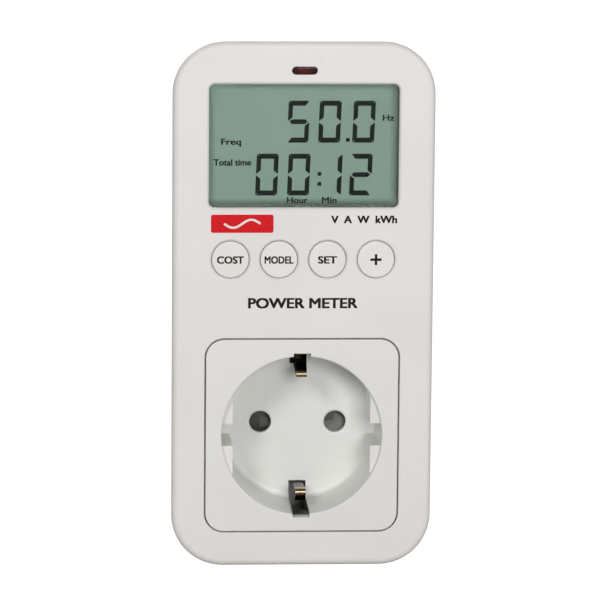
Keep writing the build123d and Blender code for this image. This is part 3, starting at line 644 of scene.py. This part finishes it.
def label_finish():
    """Silver-grey film with faint rolling lines."""
    finish, tree, shader, _ = new_finish("label_film")
    worked = place_group(
        tree,
        WORKED,
        {
            "Base": colour(0.60, 0.60, 0.60),
            "Tarnish": colour(0.50, 0.50, 0.51),
            "Tarnish Amount": 0.35,
            "Line Stretch": (1.0, 1.0, 14.0),
            "Roughness": 0.42,
        },
    )
    tree.links.new(worked.outputs["Color"], shader.inputs["Base Color"])
    tree.links.new(worked.outputs["Roughness"], shader.inputs["Roughness"])
    add_bump(tree, shader, worked.outputs["Height"], 0.004 * MM)
    shader.inputs["Metallic"].default_value = 0.35
    return finish


# Finishes of the inside

def board_finish():
    """Green solder resist over copper tracks, with plated holes."""
    finish, tree, shader, _ = new_finish("solder_resist")
    place = object_place(tree)
    tracks = node(
        tree,
        "ShaderNodeTexBrick",
        {
            "Vector": node(
                tree,
                "ShaderNodeMapping",
                {"Vector": place, "Rotation": (math.radians(90), 0.0, 0.0)},
            ).outputs[0],
            "Scale": 330.0,
            "Mortar Size": 0.035,
            "Color1": colour(0.015, 0.12, 0.05),
            "Color2": colour(0.02, 0.15, 0.06),
            "Mortar": colour(0.04, 0.24, 0.09),
        },
    )
    cloud = noise(tree, place, 300.0, 3.0)
    mixed = blend_colours(
        tree, sums(tree, "MULTIPLY", cloud, 0.3), tracks.outputs["Color"], colour(0.02, 0.16, 0.08)
    )
    holes = node(tree, "ShaderNodeTexVoronoi", {"Vector": place, "Scale": 260.0})
    pad = sums(tree, "LESS_THAN", holes.outputs["Distance"], 0.12)
    tree.links.new(
        blend_colours(tree, pad, mixed, colour(0.62, 0.62, 0.60)), shader.inputs["Base Color"]
    )
    tree.links.new(remap(tree, cloud, 0.3, 0.7, 0.28, 0.4), shader.inputs["Roughness"])
    add_bump(tree, shader, tracks.outputs["Fac"], 0.02 * MM)
    return finish


def simple_plastic(name, base, tint, rough, **more):
    return plastic(name, base, tint, rough, **more)[0]


def make_finishes():
    return {
        "case_plastic": case_finish(),
        "insert_plastic": insert_finish(),
        "button_plastic": key_finish(),
        "shutter_plastic": simple_plastic(
            "shutter_acetal",
            colour(0.075, 0.073, 0.062),
            colour(0.10, 0.097, 0.083),
            0.45,
            patch=200.0,
        ),
        "inner_plastic": simple_plastic(
            "inner_nylon", colour(0.66, 0.66, 0.63), colour(0.72, 0.71, 0.67), 0.5, patch=150.0
        ),
        "plunger_plastic": simple_plastic(
            "switch_plunger", colour(0.10, 0.10, 0.11), colour(0.13, 0.13, 0.14), 0.4, patch=400.0
        ),
        "black_plastic": simple_plastic(
            "black_moulding",
            colour(0.018, 0.018, 0.019),
            colour(0.03, 0.03, 0.032),
            0.5,
            patch=300.0,
            speck_tint=colour(0.06, 0.06, 0.06),
        ),
        "clear_window": window_finish(),
        "lcd_cell": display_finish(),
        "red_lens": red_lens_finish(),
        "red_led": red_led_finish(),
        "contact_brass": contact_finish(),
        "plated_metal": metal(
            "nickel_plate",
            colour(0.70, 0.69, 0.66),
            colour(0.46, 0.44, 0.41),
            0.22,
            0.35,
            stretch=(1.0, 10.0, 1.0),
        ),
        "spring_steel": metal(
            "spring_wire", colour(0.50, 0.50, 0.50), colour(0.28, 0.27, 0.26), 0.3, 0.4
        ),
        "shunt_alloy": metal(
            "shunt_strip", colour(0.45, 0.31, 0.22), colour(0.24, 0.16, 0.11), 0.38, 0.5
        ),
        "screw_steel": metal(
            "zinc_screws", colour(0.52, 0.53, 0.54), colour(0.34, 0.34, 0.35), 0.34, 0.5
        ),
        "lead_brown": simple_plastic(
            "brown_lead", colour(0.16, 0.065, 0.03), colour(0.20, 0.08, 0.04), 0.42, patch=400.0
        ),
        "lead_blue": simple_plastic(
            "blue_lead", colour(0.02, 0.11, 0.42), colour(0.03, 0.14, 0.50), 0.42, patch=400.0
        ),
        "zebra_rubber": simple_plastic(
            "zebra_rubber", colour(0.05, 0.05, 0.055), colour(0.16, 0.16, 0.17), 0.7, patch=2500.0
        ),
        "board_green": board_finish(),
        "capacitor_yellow": simple_plastic(
            "film_capacitor", colour(0.62, 0.44, 0.03), colour(0.70, 0.50, 0.05), 0.4, patch=220.0
        ),
        "can_sleeve": simple_plastic(
            "can_sleeve", colour(0.02, 0.025, 0.05), colour(0.035, 0.04, 0.07), 0.3, patch=300.0
        ),
        "varistor_blue": simple_plastic(
            "dipped_epoxy", colour(0.03, 0.14, 0.42), colour(0.05, 0.19, 0.50), 0.32, patch=500.0
        ),
        "fuse_ceramic": simple_plastic(
            "fuse_ceramic", colour(0.78, 0.76, 0.70), colour(0.84, 0.82, 0.77), 0.35, patch=600.0
        ),
        "label_foil": label_finish(),
    }


finishes = make_finishes()
for cad_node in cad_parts.values():
    for place in cad_node.material_slots:
        place.material = finishes[place.material.name]

SEGMENT_INK = segment_finish()
BLACK_INK = ink_finish("black_ink", colour(0.012, 0.011, 0.011), colour(0.03, 0.028, 0.028))
RED_INK = ink_finish("red_ink", colour(0.66, 0.012, 0.018), colour(0.74, 0.022, 0.026))
WHITE_INK = ink_finish("white_ink", colour(0.80, 0.78, 0.76), colour(0.86, 0.84, 0.82))


# Display

def straight_bar():
    """One display bar with mitred ends: its outer side, at the top, is the long one."""
    length = FIGURE_WIDTH - 2 * BAR_GAP
    bpy.ops.mesh.primitive_cube_add(size=1, scale=(length, FILM, BAR_THICK))
    bar = start_piece("straight_bar")
    pick_faces(bar, lambda normal, _: normal.z < -0.9)
    inner = (length - 2 * (BAR_THICK - BAR_GAP)) / length
    bpy.ops.transform.resize(value=(inner, 1, 1))
    pick_edges(bar, lambda a, b: across(a, b) and a.z > 0)
    bpy.ops.mesh.bevel(offset=0.28 * MM, segments=3)
    pick_edges(bar, lambda a, b: across(a, b) and a.z < 0)
    bpy.ops.mesh.bevel(offset=0.05 * MM, segments=1)
    end_piece()
    return bar


def middle_bar():
    """The bar across the middle of a figure, pointed at both ends."""
    point = BAR_THICK / 2
    length = FIGURE_WIDTH - 2 * (BAR_GAP + point) - BAR_THICK * 0.5
    bpy.ops.mesh.primitive_cube_add(size=1, scale=(length, FILM, BAR_THICK * 0.94))
    bar = start_piece("middle_bar")
    for way in (-1, 1):
        pick_faces(bar, lambda normal, _: normal.x * way > 0.9)
        bpy.ops.mesh.extrude_region_move(TRANSFORM_OT_translate={"value": (way * point, 0, 0)})
        bpy.ops.transform.resize(value=(1, 1, 0.12))
    end_piece()
    return bar


def bar_places():
    """Where each of a figure's seven bars goes, about the figure's middle."""
    up = FIGURE_HEIGHT / 2 - BAR_THICK / 2
    out = FIGURE_WIDTH / 2 - BAR_THICK / 2
    tall = (FIGURE_HEIGHT / 2 - 1.2 * BAR_GAP) / (FIGURE_WIDTH - 2 * BAR_GAP)
    half = FIGURE_HEIGHT / 4
    upright = Matrix.Diagonal((tall, 1, 1, 1))
    to_left = Matrix.Rotation(math.radians(-90), 4, "Y")
    to_right = Matrix.Rotation(math.radians(90), 4, "Y")
    over = Matrix.Diagonal((1, 1, -1, 1))
    return {
        "a": Matrix.Translation((0, 0, up)),
        "d": Matrix.Translation((0, 0, -up)) @ over,
        "b": Matrix.Translation((out, 0, half)) @ to_right @ upright,
        "c": Matrix.Translation((out, 0, -half)) @ to_right @ upright,
        "e": Matrix.Translation((-out, 0, -half)) @ to_left @ upright,
        "f": Matrix.Translation((-out, 0, half)) @ to_left @ upright,
    }


FIGURE_BARS = {"0": "abcdef", "1": "bc", "2": "abged", "5": "afgcd"}


def square_dot(name, size):
    bpy.ops.mesh.primitive_cube_add(size=1, scale=(size, FILM, size))
    dot = start_piece(name)
    pick_edges(dot, across)
    bpy.ops.mesh.bevel(offset=0.12 * MM, segments=2)
    end_piece()
    return dot


def figure_row(name, figures, dots, low_z):
    """A row of figures, each given as its number and the x of its left side in mm."""
    bar, middle = straight_bar(), middle_bar()
    dot = square_dot("dot", 0.95 * MM)
    places = bar_places()
    film_y = GLASS_Y - FILM / 2 + 0.01 * MM
    mid_z = low_z * MM + FIGURE_HEIGHT / 2
    lean = Matrix.Identity(4)
    lean[0][2] = FIGURE_LEAN
    pieces = []
    for number, left, width in figures:
        wide = Matrix.Diagonal((width * MM / FIGURE_WIDTH, 1, 1, 1))
        centre = Matrix.Translation((left * MM + width * MM / 2, film_y, mid_z)) @ lean @ wide
        for letter in FIGURE_BARS[number]:
            source = middle if letter == "g" else bar
            place = centre if letter == "g" else centre @ places[letter]
            pieces.append(copy_of(source, name, place))
    for x, z in dots:
        pieces.append(copy_of(dot, name, Matrix.Translation((x * MM, film_y, z * MM))))
    for source in (bar, middle, dot):
        remove(source)
    return finish_piece(join(pieces, name), SEGMENT_INK)


figure_row(
    "reading_figures",
    [("5", -3.95, 5.3), ("0", 3.75, 5.45), ("0", 12.2, 5.45)],
    [(10.95, 74.1)],
    73.4,
)
figure_row(
    "clock_figures",
    [("0", -11.75, 5.45), ("0", -3.85, 5.45), ("1", 4.1, 5.45), ("2", 11.55, 5.45)],
    [(4.0, 65.6), (4.0, 63.1)],
    60.2,
)


# Lettering

TO_FRONT = Matrix.Rotation(math.radians(90), 4, "X")


def thicken(piece, spread):
    """Bolder print: the letters are joined with copies of themselves, to the side and above."""
    for step in ((spread, 0, 0), (0, THICKEN_UP * spread, 0)):
        beside = copy_of(piece, "beside", Matrix.Translation(step))
        union = piece.modifiers.new("bolder", "BOOLEAN")
        union.operation = "UNION"
        union.solver = "EXACT"
        union.object = beside
        only(piece)
        bpy.ops.object.modifier_apply(modifier="bolder")
        remove(beside)
        clean = piece.modifiers.new("flat_faces", "DECIMATE")
        clean.decimate_type = "DISSOLVE"
        clean.angle_limit = math.radians(0.5)
        bpy.ops.object.modifier_apply(modifier="flat_faces")


def lettering(
    name, words, x, foot, surface_y, width, capital, weight, finish, body="meter"
):
    """Raised print of a given width and capital height in mm, standing on its base line."""
    bpy.ops.object.select_all(action="DESELECT")
    bpy.ops.object.text_add()
    text = bpy.context.object
    text.data.body = words
    text.data.extrude = 0.5
    text.data.resolution_u = 4
    only(text)
    bpy.ops.object.convert(target="MESH")
    piece = bpy.context.object
    piece.name = piece.data.name = name
    only(piece)
    bpy.ops.object.mode_set(mode="EDIT")
    bpy.ops.mesh.select_all(action="SELECT")
    bpy.ops.mesh.remove_doubles(threshold=1e-5)
    bpy.ops.object.mode_set(mode="OBJECT")
    if weight:
        thicken(piece, weight)
    xs = [v.co.x for v in piece.data.vertices]
    middle = (min(xs) + max(xs)) / 2
    across_scale = width * MM / (max(xs) - min(xs))
    up_scale = capital * MM / (FONT_CAPITAL + THICKEN_UP * weight)
    size = Matrix.Diagonal((across_scale, up_scale, INK_PROUD + INK_SUNK, 1))
    centred = Matrix.Translation((-middle, 0, 0))
    middle_y = surface_y - (INK_PROUD - INK_SUNK) / 2
    place = Matrix.Translation((x * MM, middle_y, foot * MM)) @ TO_FRONT
    piece.data.transform(place @ size @ centred)
    return finish_piece(piece, finish, body)


def display_words():
    for name, words, x, foot, width, capital, weight in (
        ("word_frequency", "Freq", -17.95, 72.85, 4.95, 1.55, 0.06),
        ("word_total_time", "Total time", -17.6, 67.65, 9.4, 1.6, 0.07),
        ("word_hour", "Hour", -1.45, 58.25, 5.2, 1.55, 0.06),
        ("word_minute", "Min", 6.5, 58.25, 3.7, 1.55, 0.06),
        ("word_hertz", "Hz", 21.0, 78.85, 2.9, 1.5, 0.06),
    ):
        lettering(
            name, words, x, foot, GLASS_Y, width, capital, weight, SEGMENT_INK
        )


def key_words():
    for key, words, width in (("cost", "COST", 6.7), ("model", "MODEL", 7.2), ("set", "SET", 4.75)):
        low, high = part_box(f"{key}_button")
        x = (low.x + high.x) / 2 / MM
        foot = (low.z + high.z) / 2 / MM - 1.85 / 2 - 0.05
        lettering(
            f"{key}_legend",
            words,
            x,
            foot,
            low.y,
            width,
            1.85,
            0.07,
            BLACK_INK,
            body=f"{key}_key",
        )


def plus_sign():
    """The cross on the fourth key: a grid of nine squares without its corners, raised."""
    low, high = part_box("plus_button")
    x, z = (low.x + high.x) / 2, (low.z + high.z) / 2
    reach, stroke = 2.75 * MM, 0.62 * MM
    bpy.ops.mesh.primitive_grid_add(
        x_subdivisions=3, y_subdivisions=3, size=reach, rotation=(math.radians(90), 0, 0)
    )
    sign = start_piece("plus_legend")
    shape = bmesh.from_edit_mesh(sign.data)
    corners = [
        face
        for face in shape.faces
        if abs(face.calc_center_median().x) > 1e-6 and abs(face.calc_center_median().z) > 1e-6
    ]
    for face in corners:
        face.select_set(True)
    bmesh.update_edit_mesh(sign.data)
    bpy.ops.mesh.delete(type="FACE")
    shape = bmesh.from_edit_mesh(sign.data)
    for vertex in shape.verts:
        for axis in (0, 2):
            if abs(vertex.co[axis]) < reach * 0.3:
                vertex.co[axis] = math.copysign(stroke / 2, vertex.co[axis])
    bmesh.update_edit_mesh(sign.data)
    bpy.ops.mesh.select_all(action="SELECT")
    bpy.ops.mesh.extrude_region_move(
        TRANSFORM_OT_translate={"value": (0, INK_PROUD + INK_SUNK, 0)}
    )
    end_piece()
    sign.data.transform(Matrix.Translation((x, low.y - INK_PROUD, z)))
    return finish_piece(sign, BLACK_INK, "plus_key")


def front_print():
    lettering(
        "title_print",
        "POWER METER",
        0.0,
        33.6 - 1.3,
        FACE_Y,
        27.3,
        2.6,
        0.07,
        BLACK_INK,
    )
    lettering(
        "quantity_print",
        "V  A  W  kWh",
        15.0,
        54.6 - 0.95,
        FACE_Y,
        16.4,
        1.9,
        0.08,
        BLACK_INK,
    )


def rounded_plate(name, width, height, corner, x, z, surface_y, proud, finish):
    """A thin printed block with rounded corners."""
    bpy.ops.mesh.primitive_cube_add(size=1, scale=(width, proud + INK_SUNK, height))
    plate = start_piece(name)
    pick_edges(plate, across)
    bpy.ops.mesh.bevel(offset=corner, segments=5)
    end_piece()
    plate.data.transform(Matrix.Translation((x, surface_y + (INK_SUNK - proud) / 2, z)))
    return finish_piece(plate, finish)


def mains_wave(x, z, width, height, stroke, surface_y):
    """The plain sign for alternating current: one sine wave drawn as a flat ribbon."""
    bpy.ops.mesh.primitive_grid_add(
        x_subdivisions=36, y_subdivisions=1, size=1, rotation=(math.radians(90), 0, 0)
    )
    wave = start_piece("mains_wave")
    shape = bmesh.from_edit_mesh(wave.data)
    for vertex in shape.verts:
        along = vertex.co.x * 2 * math.pi
        slope = math.cos(along) * height * math.pi / width
        length = math.hypot(1, slope)
        side = math.copysign(stroke / 2, vertex.co.z)
        rise = math.sin(along) * height / 2
        vertex.co = Vector(
            (vertex.co.x * width - side * slope / length, 0, rise + side / length)
        )
    bmesh.update_edit_mesh(wave.data)
    bpy.ops.mesh.select_all(action="SELECT")
    bpy.ops.mesh.extrude_region_move(
        TRANSFORM_OT_translate={"value": (0, INK_PROUD + INK_SUNK, 0)}
    )
    end_piece()
    wave.data.transform(Matrix.Translation((x, surface_y - INK_PROUD, z)))
    return finish_piece(wave, WHITE_INK)


display_words()
key_words()
plus_sign()
front_print()
TAG_X, TAG_Z = -15.2 * MM, 53.55 * MM
rounded_plate(
    "red_tag",
    15.5 * MM,
    4.55 * MM,
    0.5 * MM,
    TAG_X,
    TAG_Z,
    FACE_Y,
    INK_PROUD,
    RED_INK,
)
mains_wave(TAG_X, TAG_Z, 9.0 * MM, 2.0 * MM, 0.55 * MM, FACE_Y - INK_PROUD)


# Studio

def studio_floor():
    bpy.ops.mesh.primitive_plane_add(size=8, location=(0, 1.5, CASE_BOTTOM - 0.05 * MM))
    floor = bpy.context.object
    floor.name = floor.data.name = "studio_floor"
    finish, tree, shader, output = new_finish("studio_paper")
    place = object_place(tree)
    tone = blend_colours(
        tree, noise(tree, place, 3.0), colour(0.30, 0.30, 0.30), colour(0.32, 0.32, 0.32)
    )
    tree.links.new(tone, shader.inputs["Base Color"])
    tree.links.new(tone, shader.inputs["Emission Color"])
    shader.inputs["Roughness"].default_value = 0.9
    shader.inputs["Specular IOR Level"].default_value = 0.0
    shader.inputs["Emission Strength"].default_value = FLOOR_GLOW
    seen = node(tree, "ShaderNodeEmission", {"Color": colour(1, 1, 1), "Strength": FLOOR_SEEN})
    path = node(tree, "ShaderNodeLightPath")
    either = node(tree, "ShaderNodeMixShader")
    share = sums(tree, "MULTIPLY", path.outputs["Is Camera Ray"], 0.9)
    tree.links.new(share, either.inputs[0])
    tree.links.new(shader.outputs[0], either.inputs[1])
    tree.links.new(seen.outputs[0], either.inputs[2])
    tree.links.new(either.outputs[0], output.inputs[0])
    floor.data.materials.append(finish)


def aimed(thing, place, target):
    thing.location = place
    thing.rotation_euler = (Vector(target) - Vector(place)).to_track_quat("-Z", "Y").to_euler()


def softbox(name, left, above, distance, size, power):
    """A square light at angles from straight in front of the case, in degrees."""
    light = bpy.data.lights.new(name, "AREA")
    light.shape = "RECTANGLE"
    light.size, light.size_y = size
    light.energy = power
    lamp = bpy.data.objects.new(name, light)
    bpy.context.scene.collection.objects.link(lamp)
    left, above = math.radians(left), math.radians(above)
    way = Vector(
        (-math.sin(left) * math.cos(above), -math.cos(left) * math.cos(above), math.sin(above))
    )
    aimed(lamp, AIM + distance * way, AIM)


def studio_world():
    world = bpy.data.worlds.new("studio_air")
    world.use_nodes = True
    tree = world.node_tree
    tree.nodes["Background"].inputs["Color"].default_value = colour(1, 1, 1)
    tree.nodes["Background"].inputs["Strength"].default_value = AIR_LIGHT
    bpy.context.scene.world = world


def studio_camera():
    camera = bpy.data.cameras.new("studio_camera")
    camera.sensor_width = 36.0
    camera.angle = CAMERA_VIEW
    camera.clip_start = 0.05
    camera.clip_end = 20
    holder = bpy.data.objects.new("studio_camera", camera)
    bpy.context.scene.collection.objects.link(holder)
    flat = math.cos(CAMERA_ABOVE)
    away = Vector(
        (-math.sin(CAMERA_LEFT) * flat, -math.cos(CAMERA_LEFT) * flat, math.sin(CAMERA_ABOVE))
    )
    right = away.cross(Vector((0, 0, -1))).normalized()
    up = away.cross(right).normalized()
    rolled_right = math.cos(CAMERA_ROLL) * right + math.sin(CAMERA_ROLL) * up
    rolled_up = away.cross(rolled_right)
    turn = Matrix((rolled_right, rolled_up, away)).transposed()
    holder.matrix_world = Matrix.Translation(AIM + CAMERA_DISTANCE * away) @ turn.to_4x4()
    bpy.context.scene.camera = holder


studio_floor()
studio_world()
softbox("front_soft", -9, 11, 1.3, (0.36, 0.36), 6.9)
softbox("key_light", 28, 27, 1.3, (0.3, 0.3), 5.4)
softbox("right_fill", -72, 5, 1.0, (0.4, 0.7), 2.0)
softbox("back_left", 163, 30, 1.3, (0.7, 0.7), 9)
softbox("back_right", -163, 12, 1.3, (0.7, 0.7), 6)
studio_camera()
bpy.context.scene.view_settings.view_transform = "Standard"

bpy.context.view_layer.update()
